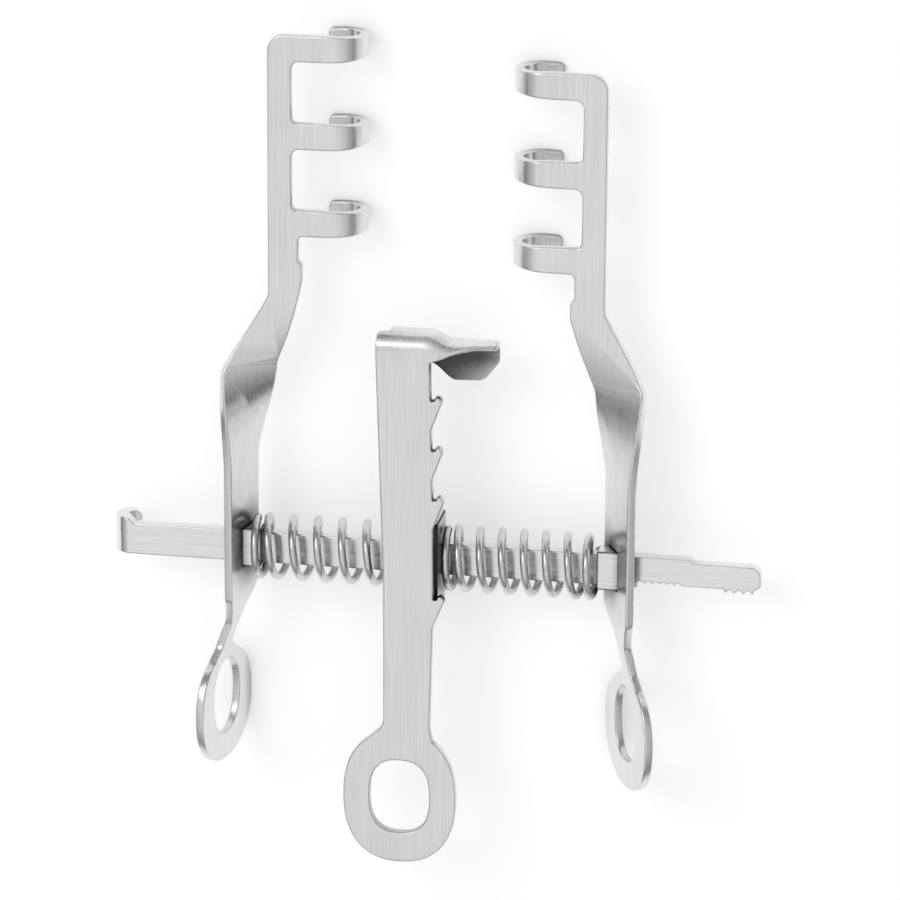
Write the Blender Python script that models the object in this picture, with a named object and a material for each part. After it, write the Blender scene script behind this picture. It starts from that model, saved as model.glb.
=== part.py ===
"""Three-arm self-retaining surgical retractor, built as its separate pieces.

The instrument lies on its back. X runs along the bar, Y from the finger rings to the prongs, and Z up, to
the side that faces the surgeon. While it is built, the origin is the middle of the bar. A last empty moves
the whole instrument so that the origin is the middle of the surface that it lies on.
"""

import math

import bmesh
import bpy
from mathutils import Matrix, Vector

MM = 0.001

GAP = 0.3 * MM  # between pieces that touch in the real instrument
ARMS_Y = -2.0 * MM  # from the arms' own origin to the bar's axis

# Bar with its rack
BAR_HALF = 99.5 * MM
BAR_HEIGHT = 10.0 * MM
BAR_THICKNESS = 4.0 * MM
BAR_EDGE = 0.5 * MM
STOP_RADIUS = 3.2 * MM
STOP_ANGLE = math.radians(150)
STOP_RETURN = 3.5 * MM
STOP_LENGTH = 6.5 * MM  # of the raised lip at the curled end
STOP_RISE = 1.8 * MM
TOOTH_PITCH = 2.6 * MM
TOOTH_DEPTH = 1.2 * MM
TOOTH_COUNT = 11
RACK_START = BAR_HALF - 4.4 * MM - TOOTH_COUNT * TOOTH_PITCH
STEP_START = BAR_HALF - 20.0 * MM
STEP_DEPTH = 1.2 * MM

# Springs
SPRING_RADIUS = 9.05 * MM  # to the middle of the wire
SPRING_WIRE = 2.4 * MM
SPRING_TURNS = 7.8
CLOSED_TURNS = 0.9
CLOSED_PITCH = 2.7 * MM
SPRING_STEPS = 18
SPRING_SIDES = 8

# Lateral arms. On the flat blank, U is the distance from the middle of the bar.
ARM_THICKNESS = 2.7 * MM
ARM_EDGE = 0.55 * MM
ARM_Z = 1.0 * MM  # middle of the flat part's thickness
TWIST_U = 53.3 * MM
TWIST_TOP = 81.0 * MM
TWIST_BOTTOM = 27.0 * MM
PLATE_HALF = 10.0 * MM
STEM_OUTER = 50.9 * MM
STEM_INNER = 43.6 * MM
SHOULDER_INNER = 40.4 * MM
SHOULDER_DROP = 17.8 * MM  # below the lowest prong
WAIST_INNER = 46.4 * MM
PLATE_TOP = 35.0 * MM
LEFT_PRONGS = (159.0 * MM, 132.2 * MM, 105.4 * MM)
RIGHT_PRONGS = (151.6 * MM, 124.6 * MM, 98.4 * MM)
PRONG_HALF = 4.1 * MM
PRONG_TIP_HALF = 2.6 * MM
PRONG_STRAIGHT_U = 31.4 * MM
HOOK_RADIUS = 8.1 * MM
HOOK_ANGLE = math.radians(180)
HOOK_RETURN = 4.0 * MM
NECK_HALF = 3.3 * MM
NECK_SHIFT = 1.5 * MM
RING_Y = -50.3 * MM
RING_HALF = 17.7 * MM
RING_HOLE_Y = -47.5 * MM
RING_HOLE_WIDTH = 18.0 * MM
RING_HOLE_HEIGHT = 23.8 * MM
LEFT_PLATE = 59.6 * MM  # the twisted plate's place on the bar
RIGHT_PLATE = 56.5 * MM
LEFT_LEAN = math.radians(13)  # of the twisted plate, from square to the bar
RIGHT_LEAN = math.radians(28)
LEFT_FLARE = 6.0 * MM  # how far the ring is set outward
RIGHT_FLARE = 4.0 * MM

# Collars between the bar and the lateral arms
COLLAR_WALL = 0.8 * MM
COLLAR_INNER = 6.6 * MM
COLLAR_OUTER = 3.4 * MM

# Centre arm
CENTRE_THICKNESS = 3.0 * MM
CENTRE_FRONT = 13.6 * MM
CENTRE_EDGE = 0.6 * MM
NOTCHES = (54.9 * MM, 39.2 * MM, 23.5 * MM, -8.3 * MM)
BARB_REACH = 3.6 * MM
BARB_RISE = 2.9 * MM
BARB_LENGTH = 8.0 * MM
CENTRE_RING_X = -8.3 * MM
CENTRE_RING_Y = -72.2 * MM
CENTRE_RING_WIDTH = 35.0 * MM
CENTRE_RING_HEIGHT = 43.0 * MM
CENTRE_HOLE_WIDTH = 18.3 * MM
CENTRE_HOLE_HEIGHT = 23.6 * MM
CENTRE_HOLE_Y = -72.0 * MM

# Hook blade, rolled back over the top of the centre arm
BLADE_LEFT = -16.2 * MM
BLADE_RIGHT = 20.2 * MM
BLADE_NARROW = -12.4 * MM  # its left edge behind the arm
BLADE_START = 70.9 * MM
BLADE_SAG = 2.55 * MM  # of the crest towards the blade's tip
BLADE_RADIUS = 4.8 * MM
BLADE_LENGTH = 21.4 * MM  # round the roll and down to the rim, on the flat blank
BLADE_THINNING = 0.36

# Lug and pins
LUG_HALF = 2.6 * MM
LUG_TOP = 14.0 * MM
LUG_BACK = -4.2 * MM
PIN_RADIUS = 0.9 * MM
PIN_TOP = 6.0 * MM
DOWEL_BACK = 5.0 * MM
DOWEL_REACH = 1.9 * MM  # into the centre arm's back
DOWEL_Y = 8.4 * MM

FLOOR = ARM_Z - 2 * HOOK_RADIUS - ARM_THICKNESS / 2  # the hooks' lowest point

STEEL = ((0.74, 0.75, 0.76), 0.26)
BRIGHT_STEEL = ((0.80, 0.81, 0.82), 0.18)
SPRING_STEEL = ((0.60, 0.61, 0.62), 0.22)


def material(name, look):
    colour, roughness = look
    steel = bpy.data.materials.new(name)
    steel.use_nodes = True
    shader = steel.node_tree.nodes["Principled BSDF"]
    shader.inputs["Base Color"].default_value = (*colour, 1.0)
    shader.inputs["Roughness"].default_value = roughness
    shader.inputs["Metallic"].default_value = 1.0
    return steel


def empty(name, place, parent=None):
    mark = bpy.data.objects.new(name, None)
    bpy.context.scene.collection.objects.link(mark)
    mark.location = place
    mark.parent = parent
    return mark


def add_object(name, shape, carrier, look):
    """Turns a bmesh in building coordinates into a named object whose origin is its carrier's."""
    mesh = bpy.data.meshes.new(name)
    bmesh.ops.transform(shape, matrix=Matrix.Translation(-carrier.location), verts=shape.verts)
    shape.to_mesh(mesh)
    shape.free()
    mesh.materials.append(material(name + "_steel", look))
    mesh.shade_smooth()
    mesh.set_sharp_from_angle(angle=math.radians(35))
    piece = bpy.data.objects.new(name, mesh)
    bpy.context.scene.collection.objects.link(piece)
    piece.parent = carrier
    return piece


def smooth(share):
    share = max(0.0, min(1.0, share))
    return share * share * (3 - 2 * share)


def spread(first, last, count):
    return [first + (last - first) * i / (count - 1) for i in range(count)]


def fillet(corners, steps=4):
    """Rounds a closed outline. Each corner is (x, y, radius), and a corner of radius 0 is kept."""
    outline = []
    for i, (x, y, radius) in enumerate(corners):
        here = Vector((x, y))
        to_before = Vector(corners[i - 1][:2]) - here
        to_after = Vector(corners[(i + 1) % len(corners)][:2]) - here
        if radius <= 0:
            outline.append(here)
            continue
        most = 0.48 * min(to_before.length, to_after.length)
        to_before.normalize()
        to_after.normalize()
        half = to_before.angle(to_after) / 2
        reach = min(radius / math.tan(half), most)
        centre = here + (to_before + to_after).normalized() * (reach / math.cos(half))
        start = here + to_before * reach - centre
        end = here + to_after * reach - centre
        turn = math.pi - 2 * half
        if start.x * end.y - start.y * end.x < 0:
            turn = -turn
        for step in range(steps + 1):
            angle = turn * step / steps
            c, s = math.cos(angle), math.sin(angle)
            outline.append(centre + Vector((c * start.x - s * start.y, s * start.x + c * start.y)))
    return outline


def oval(centre, width, height, first=0.0, last=360.0, steps=36, fullness=2.2):
    """Points of an oval a little squarer than an ellipse, from one angle in degrees to another."""
    points = []
    closed = last - first >= 360
    for step in range(steps):
        angle = math.radians(first + (last - first) * step / (steps if closed else steps - 1))
        c, s = math.cos(angle), math.sin(angle)
        across = width / 2 * math.copysign(abs(c) ** (2 / fullness), c)
        up = height / 2 * math.copysign(abs(s) ** (2 / fullness), s)
        points.append(Vector((centre[0] + across, centre[1] + up)))
    return points


def plate(loops, thickness, edge):
    """A flat plate with rounded edges, centred on Z = 0. The loops are its outline and then its holes."""
    curve = bpy.data.curves.new("outline", "CURVE")
    curve.dimensions = "2D"
    curve.fill_mode = "BOTH"
    curve.extrude = thickness / 2 - edge
    curve.bevel_depth = edge
    curve.bevel_resolution = 0
    curve.offset = -edge
    for loop in loops:
        spline = curve.splines.new("POLY")
        spline.points.add(len(loop) - 1)
        for point, place in zip(spline.points, loop):
            point.co = (place.x, place.y, 0.0, 1.0)
        spline.use_cyclic_u = True
    guide = bpy.data.objects.new("outline", curve)
    bpy.context.scene.collection.objects.link(guide)
    bpy.context.view_layer.update()
    shape = bmesh.new()
    shape.from_mesh(guide.evaluated_get(bpy.context.evaluated_depsgraph_get()).to_mesh())
    bpy.data.objects.remove(guide)
    bpy.data.curves.remove(curve)
    bmesh.ops.remove_doubles(shape, verts=shape.verts, dist=1e-7)
    bmesh.ops.recalc_face_normals(shape, faces=shape.faces)
    return shape


def slice_across(shape, direction, places, keep):
    """Adds an edge loop at each place along a direction, so that the plate can bend there."""
    for place in places:
        faces = [f for f in shape.faces if keep(f.calc_center_median())]
        edges = list({e for f in faces for e in f.edges})
        verts = list({v for f in faces for v in f.verts})
        cut = Vector(direction) * place
        bmesh.ops.bisect_plane(shape, geom=verts + edges + faces, plane_co=cut, plane_no=direction, dist=1e-7)


def roll(along, out, start, radius, most):
    """Where a point of a flat strip goes when the strip is rolled back: its place along it and its depth."""
    if along <= start:
        return along, out
    angle = min((along - start) / radius, most)
    rest = along - start - radius * angle
    across = start + (radius + out) * math.sin(angle) + rest * math.cos(angle)
    depth = -radius + (radius + out) * math.cos(angle) - rest * math.sin(angle)
    return across, depth


def box(low, high):
    shape = bmesh.new()
    bmesh.ops.create_cube(shape, size=1.0)
    size = Vector(high) - Vector(low)
    bmesh.ops.scale(shape, vec=size, verts=shape.verts)
    bmesh.ops.translate(shape, vec=Vector(low) + size / 2, verts=shape.verts)
    return shape


def rod(place, low, high, radius):
    """A cylinder along Z, at a place (x, y)."""
    shape = bmesh.new()
    middle = Matrix.Translation((*place, (low + high) / 2))
    bmesh.ops.create_cone(
        shape, cap_ends=True, segments=16, radius1=radius, radius2=radius, depth=high - low, matrix=middle
    )
    return shape


def cut_away(base, tool):
    """Cuts one closed mesh out of another, with the exact Boolean."""
    objects = []
    for shape in (base, tool):
        mesh = bpy.data.meshes.new("operand")
        shape.to_mesh(mesh)
        shape.free()
        thing = bpy.data.objects.new("operand", mesh)
        bpy.context.scene.collection.objects.link(thing)
        objects.append(thing)
    cut = objects[0].modifiers.new("cut", "BOOLEAN")
    cut.object = objects[1]
    cut.operation = "DIFFERENCE"
    cut.solver = "EXACT"
    bpy.context.view_layer.update()
    result = bmesh.new()
    result.from_mesh(objects[0].evaluated_get(bpy.context.evaluated_depsgraph_get()).to_mesh())
    for thing in objects:
        mesh = thing.data
        bpy.data.objects.remove(thing)
        bpy.data.meshes.remove(mesh)
    bmesh.ops.remove_doubles(result, verts=result.verts, dist=1e-7)
    return result


def bar_block(low, high, margin):
    """A block along the bar's axis that is larger than the bar's section by a margin on each side."""
    half_height = BAR_HEIGHT / 2 + margin
    half_depth = BAR_THICKNESS / 2 + margin
    return box((low, -half_height, -half_depth), (high, half_height, half_depth))


def rack_bar():
    top = BAR_HEIGHT / 2
    bend = BAR_HALF - STOP_RADIUS - BAR_THICKNESS / 2
    left = -(bend + STOP_RADIUS * STOP_ANGLE + STOP_RETURN)
    corners = [(left, -top, 1.5 * MM)]
    for i in range(TOOTH_COUNT):
        tooth = RACK_START + i * TOOTH_PITCH
        corners += [(tooth, -top, 0), (tooth + 0.3 * TOOTH_PITCH, -top + TOOTH_DEPTH, 0)]
    corners += [
        (RACK_START + TOOTH_COUNT * TOOTH_PITCH, -top, 0),
        (BAR_HALF - 1.6 * MM, -top, 0),
        (BAR_HALF, -top + 2.0 * MM, 0.4 * MM),
        (BAR_HALF, top - STEP_DEPTH, 3.5 * MM),
        (STEP_START + 2 * STEP_DEPTH, top - STEP_DEPTH, 0),
        (STEP_START, top, 0),
        (STOP_LENGTH - BAR_HALF, top, 1.0 * MM),
        (STOP_LENGTH - STOP_RISE - BAR_HALF, top + STOP_RISE, 1.5 * MM),
        (left, top + STOP_RISE, 2.5 * MM),
    ]
    shape = plate([fillet(corners)], BAR_THICKNESS, BAR_EDGE)
    places = spread(-bend, -(bend + STOP_RADIUS * STOP_ANGLE), 11)
    slice_across(shape, (1, 0, 0), places, lambda middle: True)
    bmesh.ops.triangulate(shape, faces=shape.faces)
    for v in shape.verts:
        across, depth = roll(-v.co.x, v.co.z, bend, STOP_RADIUS, STOP_ANGLE)
        v.co.x = -across
        v.co.z = depth
    return cut_away(shape, rod((0, 0), -3 * MM, 3 * MM, PIN_RADIUS + GAP))


def prong_corners(centre):
    """One prong on the flat blank, from its upper edge at the stem round its tip to its lower edge."""
    tip = PRONG_STRAIGHT_U - HOOK_RADIUS * HOOK_ANGLE - HOOK_RETURN
    return [
        (STEM_INNER, centre + PRONG_HALF, 1.6 * MM),
        (PRONG_STRAIGHT_U + 3 * MM, centre + PRONG_HALF, 6.0 * MM),
        (tip, centre + PRONG_TIP_HALF, 1.8 * MM),
        (tip, centre - PRONG_TIP_HALF, 1.8 * MM),
        (PRONG_STRAIGHT_U + 3 * MM, centre - PRONG_HALF, 6.0 * MM),
        (STEM_INNER, centre - PRONG_HALF, 2.4 * MM),
    ]


def arm_outline(prongs):
    """The flat lateral arm: up its outer edge, round the prongs, down its inner edge and round its ring."""
    outer = TWIST_U + PLATE_HALF
    inner = TWIST_U - PLATE_HALF
    neck = TWIST_U + NECK_SHIFT
    corners = [
        (neck + NECK_HALF, -30.0 * MM, 3.0 * MM),
        (neck + NECK_HALF, -22.0 * MM, 3.0 * MM),
        (outer, -13.0 * MM, 4.0 * MM),
        (outer, TWIST_TOP - 21.7 * MM, 5.0 * MM),
        (STEM_OUTER, TWIST_TOP + 1.6 * MM, 5.0 * MM),
        (STEM_OUTER, prongs[0] + PRONG_HALF, 5.2 * MM),
    ]
    for i, centre in enumerate(prongs):
        prong = prong_corners(centre)
        corners += prong[1:] if i == 0 else prong
    corners.pop()
    shoulder = prongs[2] - SHOULDER_DROP
    corners += [
        (SHOULDER_INNER + 1.2 * MM, prongs[2] - PRONG_HALF, 1.6 * MM),
        (SHOULDER_INNER + 1.2 * MM, shoulder + 6.0 * MM, 0.8 * MM),
        (SHOULDER_INNER, shoulder + 4.8 * MM, 0.8 * MM),
        (SHOULDER_INNER, shoulder, 3.0 * MM),
        (WAIST_INNER, (shoulder + PLATE_TOP) / 2, 8.0 * MM),
        (inner, PLATE_TOP, 6.0 * MM),
        (inner, -11.0 * MM, 2.0 * MM),
        (neck - NECK_HALF, -18.5 * MM, 2.0 * MM),
        (neck - NECK_HALF, -30.0 * MM, 3.0 * MM),
    ]
    ring = oval((TWIST_U, RING_Y), 2 * RING_HALF, 2 * RING_HALF, 118.0, 422.0, 32)
    return fillet(corners + [(p.x, p.y, 0) for p in ring])


def lateral_arm(side, prongs, place, lean, flare):
    """An arm with its prongs, the plate that slides on the bar and its finger ring. side is -1 or 1."""
    hole = oval((TWIST_U, RING_HOLE_Y), RING_HOLE_WIDTH, RING_HOLE_HEIGHT, steps=28)
    shape = plate([arm_outline(prongs), hole], ARM_THICKNESS, ARM_EDGE)
    hooks = spread(PRONG_STRAIGHT_U, PRONG_STRAIGHT_U - HOOK_RADIUS * HOOK_ANGLE, 11)
    slice_across(shape, (1, 0, 0), hooks, lambda middle: True)
    twist = spread(TWIST_BOTTOM, TWIST_TOP, 12) + spread(-36 * MM, -12 * MM, 6)
    slice_across(shape, (0, 1, 0), twist, lambda middle: middle.x > PRONG_STRAIGHT_U)
    bmesh.ops.triangulate(shape, faces=shape.faces)
    for v in shape.verts:
        along, out = roll(-v.co.x, v.co.z, -PRONG_STRAIGHT_U, HOOK_RADIUS, HOOK_ANGLE)
        share = smooth((TWIST_TOP - v.co.y) / (TWIST_TOP - TWIST_BOTTOM))
        turn = (math.pi / 2 - lean) * share
        across = -along - TWIST_U
        u = TWIST_U + across * math.cos(turn) - out * math.sin(turn) + (place - TWIST_U) * share
        u += flare * smooth((-12 * MM - v.co.y) / (24 * MM))
        v.co.y += ARMS_Y
        v.co.z = ARM_Z + across * math.sin(turn) + out * math.cos(turn)
        v.co.x = side * u
    bmesh.ops.recalc_face_normals(shape, faces=shape.faces)
    reach = sorted((side * (place - 12 * MM), side * (place + 12 * MM)))
    return cut_away(shape, bar_block(*reach, 2 * GAP + COLLAR_WALL))


def collar(side, place):
    """A rectangular sleeve round the bar, held in the arm's window."""
    ends = sorted((side * (place - COLLAR_INNER), side * (place + COLLAR_OUTER)))
    shape = bar_block(*ends, GAP + COLLAR_WALL)
    bmesh.ops.bevel(
        shape, geom=list(shape.edges), offset=0.35 * MM, segments=1, affect="EDGES", clamp_overlap=True
    )
    return cut_away(shape, bar_block(ends[0] - MM, ends[1] + MM, GAP))


def inner_face(place, lean):
    """How far from the middle the twisted plate begins, over the height of the spring."""
    return place - PLATE_HALF * math.sin(lean) - ARM_THICKNESS / 2 * math.cos(lean)


def spring(low, high):
    """A round-wire helix with closed ends, between two places along the bar."""
    length = high - low - SPRING_WIRE
    active = SPRING_TURNS - 2 * CLOSED_TURNS
    pitch = (length - 2 * CLOSED_TURNS * CLOSED_PITCH) / active
    steps = round(SPRING_TURNS * SPRING_STEPS)
    shape = bmesh.new()
    loops = []
    for i in range(steps + 1):
        turns = SPRING_TURNS * i / steps
        closed = min(turns, CLOSED_TURNS) + max(0.0, turns - SPRING_TURNS + CLOSED_TURNS)
        x = low + SPRING_WIRE / 2 + closed * CLOSED_PITCH + (turns - closed) * pitch
        angle = 2 * math.pi * turns
        radial = Vector((0, math.cos(angle), math.sin(angle)))
        across = Vector((1, 0, 0))
        centre = Vector((x, 0, 0)) + radial * SPRING_RADIUS
        loop = []
        for k in range(SPRING_SIDES):
            around = 2 * math.pi * k / SPRING_SIDES
            offset = radial * math.cos(around) + across * math.sin(around)
            loop.append(shape.verts.new(centre + offset * SPRING_WIRE / 2))
        loops.append(loop)
    for a, b in zip(loops, loops[1:]):
        for k in range(SPRING_SIDES):
            n = (k + 1) % SPRING_SIDES
            shape.faces.new((a[k], a[n], b[n], b[k]))
    shape.faces.new(loops[0])
    shape.faces.new(loops[-1])
    bmesh.ops.recalc_face_normals(shape, faces=shape.faces)
    return shape


def right_edge(y):
    """The centre arm's right edge at a height, which bulges a little at the bar."""
    if y > 0:
        return (2.0 - 1.6 * min(1.0, y / (70 * MM))) * MM
    return (2.0 - 1.0 * min(1.0, -y / (50 * MM))) * MM


def barb_corners(notch):
    """A barb on the right edge, going down: its notch, its tip, which points up, and its sloping back."""
    edge = right_edge(notch)
    return [
        (edge, notch, 0.5 * MM),
        (edge + 0.5 * BARB_REACH, notch + BARB_RISE, 0.9 * MM),
        (edge + BARB_REACH, notch + 0.4 * BARB_RISE, 1.2 * MM),
        (right_edge(notch - BARB_LENGTH), notch - BARB_LENGTH, 1.5 * MM),
    ]


def centre_outline():
    """The flat centre arm, from the blade's far end clockwise round the barbs, the ring and the left edge."""
    rim = BLADE_START + BLADE_LENGTH
    corners = [
        (BLADE_NARROW, rim, 3.0 * MM),
        (BLADE_RIGHT - 5.0 * MM, rim - 0.8 * MM, 4.0 * MM),
        (BLADE_RIGHT - 0.4 * MM, rim - 6.8 * MM, 2.5 * MM),
        (BLADE_RIGHT, BLADE_START + 2.1 * MM, 1.0 * MM),
        (BLADE_RIGHT - 7.2 * MM, BLADE_START + 1.6 * MM, 6.0 * MM),
        (right_edge(70 * MM), BLADE_START - 3.1 * MM, 0.5 * MM),
    ]
    for notch in NOTCHES:
        corners += barb_corners(notch)
    corners += [(right_edge(-49 * MM), -49.0 * MM, 5.0 * MM)]
    ring = oval(
        (CENTRE_RING_X, CENTRE_RING_Y), CENTRE_RING_WIDTH, CENTRE_RING_HEIGHT, 58.0, -238.0, 40, 2.35
    )
    corners += [(p.x, p.y, 0) for p in ring]
    corners += [
        (-13.4 * MM, -49.0 * MM, 5.0 * MM),
        (-13.6 * MM, 0.0, 0),
        (BLADE_LEFT, BLADE_START - 0.9 * MM, 4.0 * MM),
        (BLADE_LEFT, BLADE_START + 5.7 * MM, 3.4 * MM),
        (BLADE_NARROW, BLADE_START + 5.7 * MM, 0.8 * MM),
    ]
    return fillet(corners)


def centre_arm():
    """The centre arm with its ring and its barbs. The wide top is rolled back into a scoop-shaped blade."""
    hole = oval(
        (CENTRE_RING_X, CENTRE_HOLE_Y), CENTRE_HOLE_WIDTH, CENTRE_HOLE_HEIGHT, steps=32, fullness=2.6
    )
    shape = plate([centre_outline(), hole], CENTRE_THICKNESS, CENTRE_EDGE)
    low, high = BLADE_START - 4.9 * MM, BLADE_START + math.pi * BLADE_RADIUS
    slice_across(shape, (0, 1, 0), spread(low, high, 19), lambda middle: True)
    slice_across(shape, (1, 0, 0), spread(-2 * MM, 19 * MM, 11), lambda middle: middle.y > low)
    bmesh.ops.triangulate(shape, faces=shape.faces)
    for v in shape.verts:
        thin = 1 - BLADE_THINNING * smooth((v.co.y - low) / (9 * MM))
        start = BLADE_START - BLADE_SAG * smooth((v.co.x + 1 * MM) / (8 * MM))
        y, depth = roll(v.co.y, v.co.z * thin, start, BLADE_RADIUS, math.radians(188))
        v.co.y = y + ARMS_Y
        v.co.z = CENTRE_FRONT - CENTRE_THICKNESS / 2 + depth
    bmesh.ops.recalc_face_normals(shape, faces=shape.faces)
    for y in (-DOWEL_Y, DOWEL_Y):
        back = CENTRE_FRONT - CENTRE_THICKNESS
        shape = cut_away(shape, rod((0, y), back - MM, back + DOWEL_REACH, PIN_RADIUS + GAP))
    return shape


def centre_lug():
    """The block that holds the bar behind the centre arm."""
    top = CENTRE_FRONT - CENTRE_THICKNESS - GAP
    shape = box((-LUG_HALF, -LUG_TOP, LUG_BACK), (LUG_HALF, LUG_TOP, top))
    bmesh.ops.bevel(shape, geom=list(shape.edges), offset=0.4 * MM, segments=2, affect="EDGES")
    shape = cut_away(shape, bar_block(-2 * LUG_HALF, 2 * LUG_HALF, GAP))
    shape = cut_away(shape, rod((0, 0), LUG_BACK - MM, PIN_TOP, PIN_RADIUS + GAP))
    for y in (-DOWEL_Y, DOWEL_Y):
        shape = cut_away(shape, rod((0, y), DOWEL_BACK, top + MM, PIN_RADIUS + GAP))
    return shape


def dowel(y):
    """A pin between the lug and the centre arm's back."""
    front = CENTRE_FRONT - CENTRE_THICKNESS + DOWEL_REACH - GAP
    return rod((0, y), DOWEL_BACK + GAP, front, PIN_RADIUS)


def main():
    for thing in list(bpy.data.objects):
        bpy.data.objects.remove(thing)
    top = LEFT_PRONGS[0] + PRONG_HALF + ARMS_Y
    bottom = CENTRE_RING_Y - CENTRE_RING_HEIGHT / 2 + ARMS_Y
    instrument = empty("instrument", (0, -(top + bottom) / 2, -FLOOR))
    frame = empty("bar_axis", (0, 0, 0), instrument)
    left_slide = empty("left_slide_axis", (-LEFT_PLATE, 0, 0), instrument)
    right_slide = empty("right_slide_axis", (RIGHT_PLATE, 0, 0), instrument)

    add_object("rack_bar", rack_bar(), frame, BRIGHT_STEEL)
    add_object("centre_arm", centre_arm(), frame, STEEL)
    add_object("centre_lug", centre_lug(), frame, STEEL)
    add_object("upper_dowel", dowel(DOWEL_Y), frame, BRIGHT_STEEL)
    add_object("lower_dowel", dowel(-DOWEL_Y), frame, BRIGHT_STEEL)
    pin = rod((0, 0), LUG_BACK - 0.2 * MM, PIN_TOP - GAP, PIN_RADIUS)
    add_object("lug_pin", pin, frame, BRIGHT_STEEL)
    left = lateral_arm(-1, LEFT_PRONGS, LEFT_PLATE, LEFT_LEAN, LEFT_FLARE)
    right = lateral_arm(1, RIGHT_PRONGS, RIGHT_PLATE, RIGHT_LEAN, RIGHT_FLARE)
    add_object("left_arm", left, left_slide, STEEL)
    add_object("right_arm", right, right_slide, STEEL)
    add_object("left_collar", collar(-1, LEFT_PLATE), left_slide, BRIGHT_STEEL)
    add_object("right_collar", collar(1, RIGHT_PLATE), right_slide, BRIGHT_STEEL)
    left_end = -inner_face(LEFT_PLATE, LEFT_LEAN) + GAP
    right_end = inner_face(RIGHT_PLATE, RIGHT_LEAN) - GAP
    add_object("left_spring", spring(left_end, -LUG_HALF - GAP), frame, SPRING_STEEL)
    add_object("right_spring", spring(LUG_HALF + GAP, right_end), frame, SPRING_STEEL)
    bpy.context.view_layer.update()


main()
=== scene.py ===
"""The three-arm surgical retractor in satin stainless steel, on a plain white table.

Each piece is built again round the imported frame, with rounder edges and smoother bends.
While a piece is built, the origin is the middle of the bar. SHIFT then moves it into the frame's place.
Lengths are in metres.
"""

import math

import bmesh
import bpy
from mathutils import Matrix, Vector

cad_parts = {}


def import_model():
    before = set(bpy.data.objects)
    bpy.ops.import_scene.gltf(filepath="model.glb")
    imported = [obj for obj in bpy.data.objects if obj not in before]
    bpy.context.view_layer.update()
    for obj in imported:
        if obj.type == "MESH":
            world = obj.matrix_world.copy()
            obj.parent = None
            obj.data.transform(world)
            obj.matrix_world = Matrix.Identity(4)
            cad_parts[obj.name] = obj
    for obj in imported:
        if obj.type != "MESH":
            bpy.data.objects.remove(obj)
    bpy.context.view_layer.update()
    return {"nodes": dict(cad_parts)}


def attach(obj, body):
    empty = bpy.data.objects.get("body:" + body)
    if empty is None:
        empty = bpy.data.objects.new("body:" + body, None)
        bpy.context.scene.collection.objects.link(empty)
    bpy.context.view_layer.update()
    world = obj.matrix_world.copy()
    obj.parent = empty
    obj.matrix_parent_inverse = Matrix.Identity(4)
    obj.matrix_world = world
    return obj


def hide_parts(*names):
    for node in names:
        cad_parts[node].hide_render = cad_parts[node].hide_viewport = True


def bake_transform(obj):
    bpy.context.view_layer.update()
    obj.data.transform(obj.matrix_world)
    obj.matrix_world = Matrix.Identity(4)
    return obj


MM = 0.001
SHIFT = Vector((0, -32.7 * MM, 16.55 * MM))
GAP = 0.3 * MM
ARMS_Y = -2.0 * MM

# Bar
BAR_HALF = 99.5 * MM
BAR_HEIGHT = 10.0 * MM
BAR_THICKNESS = 4.0 * MM
BAR_EDGE = 0.5 * MM
STOP_RADIUS = 3.2 * MM
STOP_ANGLE = math.radians(150)
STOP_RETURN = 3.5 * MM
STOP_LENGTH = 6.5 * MM  # the raised lip at the curled end
STOP_RISE = 1.8 * MM
TOOTH_PITCH = 2.77 * MM
TOOTH_DEPTH = 1.2 * MM
TOOTH_COUNT = 4
LAST_TOOTH = BAR_HALF - 2.4 * MM
NOTCH_START = BAR_HALF - 37.4 * MM
NOTCH_PITCH = 2.26 * MM
NOTCH_DEPTH = 0.8 * MM
NOTCH_COUNT = 6
STEP_START = BAR_HALF - 21.5 * MM
STEP_WIDTH = 0.9 * MM
STEP_DEPTH = 1.2 * MM

# Springs
SPRING_RADIUS = 9.05 * MM
SPRING_WIRE = 2.4 * MM
SPRING_TURNS = 7.8
CLOSED_TURNS = 0.9
CLOSED_PITCH = 2.7 * MM
SPRING_STEPS = 48
SPRING_SIDES = 16

# Lateral arms
ARM_THICKNESS = 2.7 * MM
ARM_EDGE = 0.55 * MM
ARM_Z = 1.0 * MM
TWIST_U = 53.3 * MM
TWIST_TOP = 81.0 * MM
TWIST_BOTTOM = 27.0 * MM
PLATE_HALF = 10.0 * MM
STEM_OUTER = 50.9 * MM
STEM_INNER = 43.6 * MM
SHOULDER_INNER = 40.4 * MM
SHOULDER_DROP = 17.8 * MM  # below the lowest prong
WAIST_INNER = 46.4 * MM
PLATE_TOP = 35.0 * MM
LEFT_PRONGS = (159.0 * MM, 132.2 * MM, 105.4 * MM)
RIGHT_PRONGS = (151.6 * MM, 124.6 * MM, 98.4 * MM)
PRONG_HALF = 4.1 * MM
PRONG_TIP_HALF = 2.6 * MM
PRONG_STRAIGHT_U = 31.4 * MM
HOOK_RADIUS = 8.1 * MM
HOOK_ANGLE = math.pi
HOOK_RETURN = 4.0 * MM
NECK_HALF = 3.3 * MM
NECK_SHIFT = 1.5 * MM
RING_Y = -50.3 * MM
RING_HALF = 17.7 * MM
RING_HOLE_Y = -47.5 * MM
RING_HOLE_WIDTH = 18.0 * MM
RING_HOLE_HEIGHT = 23.8 * MM
LEFT_PLATE = 59.6 * MM
RIGHT_PLATE = 56.5 * MM
LEFT_LEAN = math.radians(13)
RIGHT_LEAN = math.radians(28)
LEFT_FLARE = 6.0 * MM  # outwards, of the finger ring
RIGHT_FLARE = 4.0 * MM
FLARE_TOP = -12 * MM
FLARE_BOTTOM = -36 * MM

# Collars
COLLAR_WALL = 0.8 * MM
COLLAR_INNER = 6.6 * MM
COLLAR_OUTER = 3.4 * MM

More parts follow.
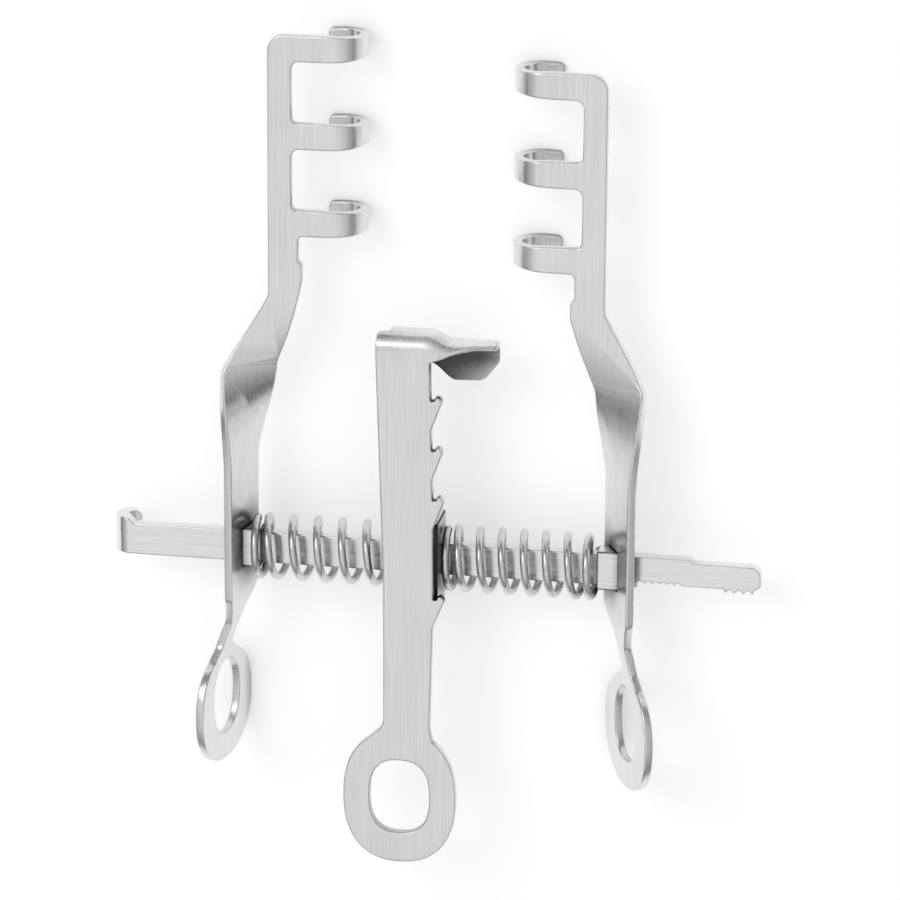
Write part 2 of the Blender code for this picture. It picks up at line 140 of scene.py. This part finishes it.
# Centre arm and blade
CENTRE_THICKNESS = 3.0 * MM
CENTRE_FRONT = 13.6 * MM
CENTRE_EDGE = 0.6 * MM
NOTCHES = (54.9 * MM, 39.2 * MM, 23.5 * MM, -8.3 * MM)
BARB_REACH = 3.6 * MM
BARB_RISE = 2.9 * MM
BARB_LENGTH = 8.0 * MM
CENTRE_RING_X = -8.3 * MM
CENTRE_RING_Y = -72.2 * MM
CENTRE_RING_WIDTH = 35.0 * MM
CENTRE_RING_HEIGHT = 43.0 * MM
CENTRE_HOLE_WIDTH = 18.3 * MM
CENTRE_HOLE_HEIGHT = 23.6 * MM
CENTRE_HOLE_Y = -72.0 * MM
BLADE_LEFT = -16.2 * MM
BLADE_RIGHT = 20.2 * MM
BLADE_NARROW = -12.4 * MM  # its left edge behind the arm
BLADE_START = 70.9 * MM
BLADE_SAG = 2.55 * MM  # of the crest towards the blade's tip
BLADE_RADIUS = 4.8 * MM
BLADE_LENGTH = 21.4 * MM  # round the roll and down to the rim, on the flat blank
BLADE_THINNING = 0.36
LUG_HALF = 2.6 * MM

# Camera, fitted to the picture
AZIMUTH = math.radians(9.6)
ELEVATION = math.radians(19.2)
ROLL = math.radians(0.43)
TARGET = Vector((4.4 * MM, 1.75 * MM, 16.55 * MM))
DISTANCE = 1.547
VIEW_ANGLE = math.radians(10)

# Steel
STEEL_TONE = (0.80, 0.80, 0.795)
BRIGHT_TONE = (0.83, 0.83, 0.825)
WIRE_TONE = (0.70, 0.705, 0.71)
PAINTED_EDGE_SHADE = -0.7  # how much painted shade darkens the edges, standing in for their dark reflections
EDGE_WIDTH = 0.65 * MM
LENGTHWISE = (2200.0, 40.0, 2200.0)  # the grain's scale along X, Y and Z
CROSSWISE = (40.0, 2200.0, 2200.0)
EVEN = (900.0, 900.0, 900.0)

# Studio
FLOOR_LIFT = 0.38  # makes the table plain white to the camera and in the metal
FLOOR_REACH = 12.0
WALLS = ((0.1, 1.0), (0.17, 0.12), (0.85, 0.75))  # the studio's light at some heights, from 0 to 1
CEILING = 0.75
KEY = ((-0.8, 0.9, 1.4), (1.0, 1.0), 5)  # each lamp's place, size and power in watts
OVERHEAD = ((-0.25, -0.6, 1.7), (1.6, 0.9), 0.6)


class Nodes:
    """A small helper that adds and joins the nodes of one material."""

    def __init__(self, name):
        self.material = bpy.data.materials.new(name)
        self.material.use_nodes = True
        self.tree = self.material.node_tree
        self.shader = self.tree.nodes["Principled BSDF"]

    def add(self, kind, inputs=None, **settings):
        node = self.tree.nodes.new(kind)
        for key, value in settings.items():
            setattr(node, key, value)
        for key, value in (inputs or {}).items():
            if isinstance(value, bpy.types.NodeSocket):
                self.tree.links.new(value, node.inputs[key])
            else:
                node.inputs[key].default_value = value
        return node

    def link(self, output, socket):
        self.tree.links.new(output, self.shader.inputs[socket])

    def spread(self, value, low, high, to_low, to_high):
        """Maps a value from one range to another."""
        inputs = {"Value": value, "From Min": low, "From Max": high, "To Min": to_low, "To Max": to_high}
        return self.add("ShaderNodeMapRange", inputs).outputs["Result"]

    def noise(self, place, scale, detail):
        inputs = {"Vector": place, "Scale": scale, "Detail": detail}
        return self.add("ShaderNodeTexNoise", inputs).outputs["Fac"]

    def maths(self, operation, a, b):
        return self.add("ShaderNodeMath", {0: a, 1: b}, operation=operation).outputs[0]


def steel(name, colour, roughness, grain, grain_depth, reach, closed=0.35):
    """Stainless steel with a directional grain, faint smudges, hairline scratches and painted shade
    along its edges.

    Hollows get painted shade in the base colour as far as reach, darkest where no more than the share
    closed is open.
    """
    nodes = Nodes(name)
    place = nodes.add("ShaderNodeTexCoord").outputs["Object"]
    stretched = nodes.add("ShaderNodeMapping", {"Vector": place, "Scale": grain}).outputs["Vector"]
    lines = nodes.noise(stretched, 1.0, 3.0)
    smudge = nodes.noise(place, 55.0, 4.0)
    slanted = {"Vector": place, "Rotation": (0.3, 0.2, 0.7), "Scale": (2600.0, 60.0, 2600.0)}
    hairs = nodes.noise(nodes.add("ShaderNodeMapping", slanted).outputs["Vector"], 1.0, 1.0)
    scratches = nodes.spread(hairs, 0.72, 0.78, 0.0, 1.0)

    # Painted shade: the base colour is darkened along rounded edges, where the bevel normal parts from
    # the smooth normal.
    rounded = nodes.add("ShaderNodeBevel", {"Radius": EDGE_WIDTH}, samples=6).outputs["Normal"]
    smooth_normal = nodes.add("ShaderNodeNewGeometry").outputs["Normal"]
    likeness = nodes.add(
        "ShaderNodeVectorMath", {0: rounded, 1: smooth_normal}, operation="DOT_PRODUCT"
    ).outputs["Value"]
    painted_edge_shade = nodes.spread(likeness, 0.85, 0.985, 1.0, 0.0)
    # Painted shade: ambient occlusion darkens the base colour in hollows and between parts.
    hollow = nodes.add("ShaderNodeAmbientOcclusion", {"Distance": reach}, samples=8).outputs["AO"]
    shade = nodes.spread(hollow, closed, 0.97, 0.1, 1.0)
    tone = nodes.spread(smudge, 0.3, 0.7, 0.93, 1.03)
    tone = nodes.maths("MULTIPLY", tone, nodes.spread(lines, 0.3, 0.7, 0.90, 1.05))
    tone = nodes.maths("MULTIPLY", tone, shade)
    tone = nodes.maths("ADD", tone, nodes.maths("MULTIPLY", painted_edge_shade, PAINTED_EDGE_SHADE))
    tint = nodes.add("ShaderNodeVectorMath", {0: colour}, operation="SCALE")
    nodes.tree.links.new(tone, tint.inputs["Scale"])
    nodes.link(tint.outputs[0], "Base Color")

    rough = nodes.spread(smudge, 0.35, 0.65, roughness - 0.04, roughness + 0.06)
    rough = nodes.maths("ADD", rough, nodes.spread(lines, 0.3, 0.7, -0.03, 0.05))
    rough = nodes.maths("ADD", rough, nodes.maths("MULTIPLY", scratches, 0.12))
    nodes.link(rough, "Roughness")
    height = nodes.maths("SUBTRACT", lines, nodes.maths("MULTIPLY", scratches, 0.6))
    bump = nodes.add("ShaderNodeBump", {"Height": height, "Strength": 0.35, "Distance": grain_depth})
    nodes.link(bump.outputs["Normal"], "Normal")
    nodes.shader.inputs["Metallic"].default_value = 1.0
    return nodes.material


def smooth(share):
    share = max(0.0, min(1.0, share))
    return share * share * (3 - 2 * share)


def spread(first, last, count):
    return [first + (last - first) * i / (count - 1) for i in range(count)]


def fillet(corners, steps=8):
    """Rounds a closed outline. Each corner is (x, y, radius), and a corner of radius 0 is kept."""
    outline = []
    for i, (x, y, radius) in enumerate(corners):
        here = Vector((x, y))
        to_before = Vector(corners[i - 1][:2]) - here
        to_after = Vector(corners[(i + 1) % len(corners)][:2]) - here
        if radius <= 0:
            outline.append(here)
            continue
        most = 0.48 * min(to_before.length, to_after.length)
        to_before.normalize()
        to_after.normalize()
        half = to_before.angle(to_after) / 2
        reach = min(radius / math.tan(half), most)
        centre = here + (to_before + to_after).normalized() * (reach / math.cos(half))
        start = here + to_before * reach - centre
        end = here + to_after * reach - centre
        turn = math.pi - 2 * half
        if start.x * end.y - start.y * end.x < 0:
            turn = -turn
        for step in range(steps + 1):
            angle = turn * step / steps
            c, s = math.cos(angle), math.sin(angle)
            outline.append(centre + Vector((c * start.x - s * start.y, s * start.x + c * start.y)))
    return outline


def oval(centre, width, height, first=0.0, last=360.0, steps=96, fullness=2.2):
    """Points of an oval a little squarer than an ellipse, from one angle in degrees to another."""
    points = []
    closed = last - first >= 360
    for step in range(steps):
        angle = math.radians(first + (last - first) * step / (steps if closed else steps - 1))
        c, s = math.cos(angle), math.sin(angle)
        across = width / 2 * math.copysign(abs(c) ** (2 / fullness), c)
        up = height / 2 * math.copysign(abs(s) ** (2 / fullness), s)
        points.append(Vector((centre[0] + across, centre[1] + up)))
    return points


def plate(loops, thickness, edge):
    """A flat plate with rounded edges, centred on Z = 0. Its outline comes first, then its holes."""
    curve = bpy.data.curves.new("outline", "CURVE")
    curve.dimensions = "2D"
    curve.fill_mode = "BOTH"
    curve.extrude = thickness / 2 - edge
    curve.bevel_depth = edge
    curve.bevel_resolution = 2
    curve.offset = -edge
    for loop in loops:
        spline = curve.splines.new("POLY")
        spline.points.add(len(loop) - 1)
        for point, place in zip(spline.points, loop):
            point.co = (place.x, place.y, 0.0, 1.0)
        spline.use_cyclic_u = True
    guide = bpy.data.objects.new("outline", curve)
    bpy.context.scene.collection.objects.link(guide)
    bpy.context.view_layer.update()
    shape = bmesh.new()
    shape.from_mesh(guide.evaluated_get(bpy.context.evaluated_depsgraph_get()).to_mesh())
    bpy.data.objects.remove(guide)
    bpy.data.curves.remove(curve)
    bmesh.ops.remove_doubles(shape, verts=shape.verts, dist=1e-7)
    bmesh.ops.recalc_face_normals(shape, faces=shape.faces)
    return shape


def slice_across(shape, direction, places, keep):
    """Adds an edge loop at each place along a direction, so that the plate can bend there."""
    for place in places:
        faces = [f for f in shape.faces if keep(f.calc_center_median())]
        edges = list({e for f in faces for e in f.edges})
        verts = list({v for f in faces for v in f.verts})
        parts = verts + edges + faces
        cut = Vector(direction) * place
        bmesh.ops.bisect_plane(shape, geom=parts, plane_co=cut, plane_no=direction, dist=1e-7)


def roll(along, out, start, radius, most):
    """Where a point of a flat strip goes when the strip is rolled back: along the strip and in depth."""
    if along <= start:
        return along, out
    angle = min((along - start) / radius, most)
    rest = along - start - radius * angle
    across = start + (radius + out) * math.sin(angle) + rest * math.cos(angle)
    depth = -radius + (radius + out) * math.cos(angle) - rest * math.sin(angle)
    return across, depth


def box(low, high):
    shape = bmesh.new()
    bmesh.ops.create_cube(shape, size=1.0)
    size = Vector(high) - Vector(low)
    bmesh.ops.scale(shape, vec=size, verts=shape.verts)
    bmesh.ops.translate(shape, vec=Vector(low) + size / 2, verts=shape.verts)
    return shape


def cut_away(base, tool):
    """Cuts one closed mesh out of another, with the exact Boolean."""
    objects = []
    for shape in (base, tool):
        mesh = bpy.data.meshes.new("operand")
        shape.to_mesh(mesh)
        shape.free()
        thing = bpy.data.objects.new("operand", mesh)
        bpy.context.scene.collection.objects.link(thing)
        objects.append(thing)
    cut = objects[0].modifiers.new("cut", "BOOLEAN")
    cut.object = objects[1]
    cut.operation = "DIFFERENCE"
    cut.solver = "EXACT"
    bpy.context.view_layer.update()
    result = bmesh.new()
    result.from_mesh(objects[0].evaluated_get(bpy.context.evaluated_depsgraph_get()).to_mesh())
    for thing in objects:
        mesh = thing.data
        bpy.data.objects.remove(thing)
        bpy.data.meshes.remove(mesh)
    bmesh.ops.remove_doubles(result, verts=result.verts, dist=1e-7)
    return result


def bar_block(low, high, margin):
    half_height = BAR_HEIGHT / 2 + margin
    half_depth = BAR_THICKNESS / 2 + margin
    return box((low, -half_height, -half_depth), (high, half_height, half_depth))


def rack_corners():
    """The lower edge at the right end: rounded notches, a plain stretch and pointed teeth."""
    low = -BAR_HEIGHT / 2
    plain = low + TOOTH_DEPTH
    radius = (NOTCH_PITCH**2 / 4 + NOTCH_DEPTH**2) / (2 * NOTCH_DEPTH)
    half = math.asin(NOTCH_PITCH / 2 / radius)
    corners = [(NOTCH_START, low, 0), (NOTCH_START, plain, 0)]
    for i in range(NOTCH_COUNT):
        middle = NOTCH_START + (i + 0.5) * NOTCH_PITCH
        for angle in spread(-half, half, 5)[1:]:
            rise = radius * (math.cos(angle) - math.cos(half))
            corners.append((middle + radius * math.sin(angle), plain + rise, 0))
    first = LAST_TOOTH - (TOOTH_COUNT - 1) * TOOTH_PITCH
    corners.append((first - 0.6 * MM, plain, 0))
    for i in range(TOOTH_COUNT):
        tip = first + i * TOOTH_PITCH
        corners += [(tip, low, 0), (tip + TOOTH_PITCH / 2, plain, 0)]
    corners[-1] = (LAST_TOOTH + 0.5 * MM, plain, 0)
    return corners


def rack_bar():
    top = BAR_HEIGHT / 2
    bend = BAR_HALF - STOP_RADIUS - BAR_THICKNESS / 2
    left = -(bend + STOP_RADIUS * STOP_ANGLE + STOP_RETURN)
    corners = [(left, -top, 1.5 * MM)] + rack_corners()
    corners += [
        (BAR_HALF, -top + TOOTH_DEPTH + 1.3 * MM, 0.4 * MM),
        (BAR_HALF, top - STEP_DEPTH, 3.5 * MM),
        (STEP_START + STEP_WIDTH, top - STEP_DEPTH, 0.4 * MM),
        (STEP_START, top, 0.6 * MM),
        (STOP_LENGTH - BAR_HALF, top, 1.0 * MM),
        (STOP_LENGTH - STOP_RISE - BAR_HALF, top + STOP_RISE, 1.5 * MM),
        (left, top + STOP_RISE, 2.5 * MM),
    ]
    shape = plate([fillet(corners, 4)], BAR_THICKNESS, BAR_EDGE)
    places = spread(-bend, -(bend + STOP_RADIUS * STOP_ANGLE), 25)
    slice_across(shape, (1, 0, 0), places, lambda middle: True)
    bmesh.ops.triangulate(shape, faces=shape.faces)
    for v in shape.verts:
        across, depth = roll(-v.co.x, v.co.z, bend, STOP_RADIUS, STOP_ANGLE)
        v.co.x = -across
        v.co.z = depth
    return shape


def prong_corners(centre):
    """One prong on the flat blank, from its upper edge at the stem round its tip to its lower edge."""
    tip = PRONG_STRAIGHT_U - HOOK_RADIUS * HOOK_ANGLE - HOOK_RETURN
    return [
        (STEM_INNER, centre + PRONG_HALF, 1.6 * MM),
        (PRONG_STRAIGHT_U + 3 * MM, centre + PRONG_HALF, 6.0 * MM),
        (tip, centre + PRONG_TIP_HALF, 1.8 * MM),
        (tip, centre - PRONG_TIP_HALF, 1.8 * MM),
        (PRONG_STRAIGHT_U + 3 * MM, centre - PRONG_HALF, 6.0 * MM),
        (STEM_INNER, centre - PRONG_HALF, 2.4 * MM),
    ]


def arm_outline(prongs):
    """The flat lateral arm: up its outer edge, round the prongs, down its inner edge, round its ring."""
    outer = TWIST_U + PLATE_HALF
    inner = TWIST_U - PLATE_HALF
    neck = TWIST_U + NECK_SHIFT
    corners = [
        (neck + NECK_HALF, -30.0 * MM, 3.0 * MM),
        (neck + NECK_HALF, -22.0 * MM, 3.0 * MM),
        (outer, -13.0 * MM, 4.0 * MM),
        (outer, TWIST_TOP - 21.7 * MM, 5.0 * MM),
        (STEM_OUTER, TWIST_TOP + 1.6 * MM, 5.0 * MM),
        (STEM_OUTER, prongs[0] + PRONG_HALF, 5.2 * MM),
    ]
    for i, centre in enumerate(prongs):
        prong = prong_corners(centre)
        corners += prong[1:] if i == 0 else prong
    corners.pop()
    shoulder = prongs[2] - SHOULDER_DROP
    corners += [
        (SHOULDER_INNER + 1.2 * MM, prongs[2] - PRONG_HALF, 1.6 * MM),
        (SHOULDER_INNER + 1.2 * MM, shoulder + 6.0 * MM, 0.8 * MM),
        (SHOULDER_INNER, shoulder + 4.8 * MM, 0.8 * MM),
        (SHOULDER_INNER, shoulder, 3.0 * MM),
        (WAIST_INNER, (shoulder + PLATE_TOP) / 2, 8.0 * MM),
        (inner, PLATE_TOP, 6.0 * MM),
        (inner, -11.0 * MM, 2.0 * MM),
        (neck - NECK_HALF, -18.5 * MM, 2.0 * MM),
        (neck - NECK_HALF, -30.0 * MM, 3.0 * MM),
    ]
    ring = oval((TWIST_U, RING_Y), 2 * RING_HALF, 2 * RING_HALF, 118.0, 422.0, 84)
    return fillet(corners + [(p.x, p.y, 0) for p in ring])


def lateral_arm(side, prongs, place, lean, flare):
    """An arm with its prongs, the plate that slides on the bar and its finger ring. side is -1 or 1."""
    hole = oval((TWIST_U, RING_HOLE_Y), RING_HOLE_WIDTH, RING_HOLE_HEIGHT)
    shape = plate([arm_outline(prongs), hole], ARM_THICKNESS, ARM_EDGE)
    hooks = spread(PRONG_STRAIGHT_U, PRONG_STRAIGHT_U - HOOK_RADIUS * HOOK_ANGLE, 33)
    slice_across(shape, (1, 0, 0), hooks, lambda middle: True)
    twist = spread(TWIST_BOTTOM, TWIST_TOP, 36) + spread(FLARE_BOTTOM, FLARE_TOP, 20)
    slice_across(shape, (0, 1, 0), twist, lambda middle: middle.x > PRONG_STRAIGHT_U)
    bmesh.ops.triangulate(shape, faces=shape.faces)
    for v in shape.verts:
        along, out = roll(-v.co.x, v.co.z, -PRONG_STRAIGHT_U, HOOK_RADIUS, HOOK_ANGLE)
        share = smooth((TWIST_TOP - v.co.y) / (TWIST_TOP - TWIST_BOTTOM))
        turn = (math.pi / 2 - lean) * share
        across = -along - TWIST_U
        u = TWIST_U + across * math.cos(turn) - out * math.sin(turn) + (place - TWIST_U) * share
        u += flare * smooth((FLARE_TOP - v.co.y) / (FLARE_TOP - FLARE_BOTTOM))
        v.co.y += ARMS_Y
        v.co.z = ARM_Z + across * math.sin(turn) + out * math.cos(turn)
        v.co.x = side * u
    bmesh.ops.recalc_face_normals(shape, faces=shape.faces)
    reach = sorted((side * (place - 12 * MM), side * (place + 12 * MM)))
    return cut_away(shape, bar_block(*reach, 2 * GAP + COLLAR_WALL))


def collar(side, place):
    """A rectangular sleeve round the bar, held in the arm's window."""
    ends = sorted((side * (place - COLLAR_INNER), side * (place + COLLAR_OUTER)))
    shape = bar_block(*ends, GAP + COLLAR_WALL)
    bmesh.ops.bevel(
        shape, geom=list(shape.edges), offset=0.35 * MM, segments=3, affect="EDGES", clamp_overlap=True
    )
    return cut_away(shape, bar_block(ends[0] - MM, ends[1] + MM, GAP))


def inner_face(place, lean):
    return place - PLATE_HALF * math.sin(lean) - ARM_THICKNESS / 2 * math.cos(lean)


def spring(low, high):
    """A round-wire helix with closed ends, between two places along the bar."""
    length = high - low - SPRING_WIRE
    active = SPRING_TURNS - 2 * CLOSED_TURNS
    pitch = (length - 2 * CLOSED_TURNS * CLOSED_PITCH) / active
    steps = round(SPRING_TURNS * SPRING_STEPS)
    shape = bmesh.new()
    loops = []
    for i in range(steps + 1):
        turns = SPRING_TURNS * i / steps
        closed = min(turns, CLOSED_TURNS) + max(0.0, turns - SPRING_TURNS + CLOSED_TURNS)
        x = low + SPRING_WIRE / 2 + closed * CLOSED_PITCH + (turns - closed) * pitch
        angle = 2 * math.pi * turns
        radial = Vector((0, math.cos(angle), math.sin(angle)))
        centre = Vector((x, 0, 0)) + radial * SPRING_RADIUS
        loop = []
        for k in range(SPRING_SIDES):
            around = 2 * math.pi * k / SPRING_SIDES
            offset = radial * math.cos(around) + Vector((math.sin(around), 0, 0))
            loop.append(shape.verts.new(centre + offset * SPRING_WIRE / 2))
        loops.append(loop)
    for a, b in zip(loops, loops[1:]):
        for k in range(SPRING_SIDES):
            n = (k + 1) % SPRING_SIDES
            shape.faces.new((a[k], a[n], b[n], b[k]))
    shape.faces.new(loops[0])
    shape.faces.new(loops[-1])
    bmesh.ops.recalc_face_normals(shape, faces=shape.faces)
    return shape


def right_edge(y):
    """The centre arm's right edge at a height."""
    if y > 0:
        return (2.0 - 1.6 * min(1.0, y / (70 * MM))) * MM
    return (2.0 - 1.0 * min(1.0, -y / (50 * MM))) * MM


def barb_corners(notch):
    """A barb on the right edge, going down: its notch, its tip, which points up, and its slope."""
    edge = right_edge(notch)
    return [
        (edge, notch, 0.5 * MM),
        (edge + 0.5 * BARB_REACH, notch + BARB_RISE, 0.9 * MM),
        (edge + BARB_REACH, notch + 0.4 * BARB_RISE, 1.2 * MM),
        (right_edge(notch - BARB_LENGTH), notch - BARB_LENGTH, 1.5 * MM),
    ]


def centre_outline():
    """The flat centre arm, clockwise from the blade's far end: the barbs, the ring and the left edge."""
    rim = BLADE_START + BLADE_LENGTH
    corners = [
        (BLADE_NARROW, rim, 3.0 * MM),
        (BLADE_RIGHT - 5.0 * MM, rim - 0.8 * MM, 4.0 * MM),
        (BLADE_RIGHT - 0.4 * MM, rim - 6.8 * MM, 2.5 * MM),
        (BLADE_RIGHT, BLADE_START + 2.1 * MM, 1.0 * MM),
        (BLADE_RIGHT - 7.2 * MM, BLADE_START + 1.6 * MM, 6.0 * MM),
        (right_edge(70 * MM), BLADE_START - 3.1 * MM, 0.5 * MM),
    ]
    for notch in NOTCHES:
        corners += barb_corners(notch)
    corners += [(right_edge(-49 * MM), -49.0 * MM, 5.0 * MM)]
    ring = oval(
        (CENTRE_RING_X, CENTRE_RING_Y), CENTRE_RING_WIDTH, CENTRE_RING_HEIGHT, 58.0, -238.0, 96, 2.35
    )
    corners += [(p.x, p.y, 0) for p in ring]
    corners += [
        (-13.4 * MM, -49.0 * MM, 5.0 * MM),
        (-13.6 * MM, 0.0, 0),
        (BLADE_LEFT, BLADE_START - 0.9 * MM, 4.0 * MM),
        (BLADE_LEFT, BLADE_START + 5.7 * MM, 3.4 * MM),
        (BLADE_NARROW, BLADE_START + 5.7 * MM, 0.8 * MM),
    ]
    return fillet(corners)


def centre_arm():
    """The centre arm with its ring and barbs. The wide top is rolled back into a scoop-shaped blade."""
    hole = oval((CENTRE_RING_X, CENTRE_HOLE_Y), CENTRE_HOLE_WIDTH, CENTRE_HOLE_HEIGHT, fullness=2.6)
    shape = plate([centre_outline(), hole], CENTRE_THICKNESS, CENTRE_EDGE)
    low, high = BLADE_START - 4.9 * MM, BLADE_START + math.pi * BLADE_RADIUS
    slice_across(shape, (0, 1, 0), spread(low, high, 52), lambda middle: True)
    slice_across(shape, (1, 0, 0), spread(-2 * MM, 19.5 * MM, 30), lambda middle: middle.y > low)
    bmesh.ops.triangulate(shape, faces=shape.faces)
    for v in shape.verts:
        thin = 1 - BLADE_THINNING * smooth((v.co.y - low) / (9 * MM))
        start = BLADE_START - BLADE_SAG * smooth((v.co.x + 1 * MM) / (8 * MM))
        y, depth = roll(v.co.y, v.co.z * thin, start, BLADE_RADIUS, math.radians(188))
        v.co.y = y + ARMS_Y
        v.co.z = CENTRE_FRONT - CENTRE_THICKNESS / 2 + depth
    bmesh.ops.recalc_face_normals(shape, faces=shape.faces)
    return shape


def add_piece(name, shape, material, node, body, flat_faces=True):
    """Puts a shape in the frame's place, where it replaces a CAD node. A blended piece has no body."""
    bmesh.ops.translate(shape, vec=SHIFT, verts=shape.verts)
    mesh = bpy.data.meshes.new(name)
    shape.to_mesh(mesh)
    shape.free()
    mesh.materials.append(material)
    mesh.shade_smooth()
    piece = bpy.data.objects.new(name, mesh)
    bpy.context.scene.collection.objects.link(piece)
    if flat_faces:
        mesh.set_sharp_from_angle(angle=math.radians(38))
        flat = piece.modifiers.new("flat_faces", "WEIGHTED_NORMAL")
        flat.keep_sharp = True
    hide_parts(node)
    if body:
        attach(piece, body)
    return piece


def add_light(name, place, size, power):
    lamp = bpy.data.lights.new(name, "AREA")
    lamp.shape = "RECTANGLE"
    lamp.size, lamp.size_y = size
    lamp.energy = power
    thing = bpy.data.objects.new(name, lamp)
    bpy.context.scene.collection.objects.link(thing)
    thing.location = place
    thing.rotation_euler = (TARGET - Vector(place)).to_track_quat("-Z", "Y").to_euler()


def add_floor():
    """A table that is white to the camera and in the metal, and keeps the instrument's shadow."""
    mesh = bpy.data.meshes.new("table")
    corners = [
        (-FLOOR_REACH, -FLOOR_REACH, 0),
        (FLOOR_REACH, -FLOOR_REACH, 0),
        (FLOOR_REACH, FLOOR_REACH, 0),
        (-FLOOR_REACH, FLOOR_REACH, 0),
    ]
    mesh.from_pydata(corners, [], [(0, 1, 2, 3)])
    floor = bpy.data.objects.new("table", mesh)
    bpy.context.scene.collection.objects.link(floor)
    nodes = Nodes("table_white")
    nodes.shader.inputs["Base Color"].default_value = (0.93, 0.93, 0.93, 1)
    nodes.shader.inputs["Roughness"].default_value = 0.9
    nodes.shader.inputs["Emission Color"].default_value = (1, 1, 1, 1)
    rays = nodes.add("ShaderNodeLightPath").outputs
    seen = nodes.maths("MAXIMUM", rays["Is Camera Ray"], rays["Is Glossy Ray"])
    seen = nodes.maths("MAXIMUM", seen, rays["Is Transmission Ray"])
    nodes.link(nodes.maths("MULTIPLY", seen, FLOOR_LIFT), "Emission Strength")
    mesh.materials.append(nodes.material)


def add_world():
    """A white backdrop, grey walls above it and a bright ceiling, alike for the camera and the metal."""
    world = bpy.data.worlds.new("studio")
    bpy.context.scene.world = world
    world.use_nodes = True
    tree = world.node_tree
    background = tree.nodes["Background"]
    coordinates = tree.nodes.new("ShaderNodeTexCoord")
    parts = tree.nodes.new("ShaderNodeSeparateXYZ")
    tree.links.new(coordinates.outputs["Generated"], parts.inputs["Vector"])
    ramp = tree.nodes.new("ShaderNodeValToRGB")
    stops = ramp.color_ramp.elements
    stops[0].color = (1, 1, 1, 1)
    stops[1].color = (CEILING, CEILING, CEILING, 1)
    for height, strength in WALLS:
        stops.new(height).color = (strength, strength, strength, 1)
    tree.links.new(parts.outputs["Z"], ramp.inputs["Fac"])
    tree.links.new(ramp.outputs["Color"], background.inputs["Color"])


def add_camera():
    towards = Vector((
        math.sin(AZIMUTH) * math.cos(ELEVATION),
        math.sin(ELEVATION),
        math.cos(AZIMUTH) * math.cos(ELEVATION),
    ))
    right = Vector((math.cos(AZIMUTH), 0, -math.sin(AZIMUTH)))
    up = towards.cross(right)
    c, s = math.cos(ROLL), math.sin(ROLL)
    right, up = c * right + s * up, c * up - s * right
    camera = bpy.data.objects.new("camera", bpy.data.cameras.new("camera"))
    bpy.context.scene.collection.objects.link(camera)
    turn = Matrix((right, up, towards)).transposed().to_4x4()
    camera.matrix_world = Matrix.Translation(TARGET + towards * DISTANCE) @ turn
    camera.data.sensor_fit = "HORIZONTAL"
    camera.data.angle = VIEW_ANGLE
    camera.data.clip_end = 20
    bpy.context.scene.camera = camera


def main():
    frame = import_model()
    satin = steel("satin_steel", STEEL_TONE, 0.26, LENGTHWISE, 0.02 * MM, 8 * MM, 0.5)
    # The blade's steel paints stronger shade into hollows, which darkens the inside of its scoop.
    blade = steel("blade_steel", STEEL_TONE, 0.26, LENGTHWISE, 0.02 * MM, 18 * MM, 0.8)
    bright = steel("bright_steel", BRIGHT_TONE, 0.18, CROSSWISE, 0.012 * MM, 3 * MM)
    wire = steel("spring_wire", WIRE_TONE, 0.22, EVEN, 0.008 * MM, 5 * MM)

    add_piece("bar", rack_bar(), bright, "rack_bar", "frame")
    add_piece("hook_blade_arm", centre_arm(), blade, "centre_arm", "frame")
    left = lateral_arm(-1, LEFT_PRONGS, LEFT_PLATE, LEFT_LEAN, LEFT_FLARE)
    right = lateral_arm(1, RIGHT_PRONGS, RIGHT_PLATE, RIGHT_LEAN, RIGHT_FLARE)
    add_piece("left_prong_arm", left, satin, "left_arm", "left_slider")
    add_piece("right_prong_arm", right, satin, "right_arm", "right_slider")
    add_piece("left_guide_collar", collar(-1, LEFT_PLATE), bright, "left_collar", "left_slider")
    add_piece("right_guide_collar", collar(1, RIGHT_PLATE), bright, "right_collar", "right_slider")

    left_end = -inner_face(LEFT_PLATE, LEFT_LEAN) + GAP
    right_end = inner_face(RIGHT_PLATE, RIGHT_LEAN) - GAP
    near = LUG_HALF + GAP
    coils = (
        ("left_coil", "left_spring", "left_slider", left_end, -near, -near, left_end),
        ("right_coil", "right_spring", "right_slider", near, right_end, near, right_end),
    )
    for name, node, body, low, high, start, end in coils:
        coil = add_piece(name, spring(low, high), wire, node, None, flat_faces=False)
        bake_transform(coil)

    for node in ("centre_lug", "upper_dowel", "lower_dowel", "lug_pin"):
        thing = frame["nodes"][node]
        for slot in thing.material_slots:
            slot.material = satin if node == "centre_lug" else bright

    add_floor()
    add_world()
    add_light("key", *KEY)
    add_light("overhead", *OVERHEAD)
    add_camera()
    bpy.context.scene.view_settings.view_transform = "Standard"


main()
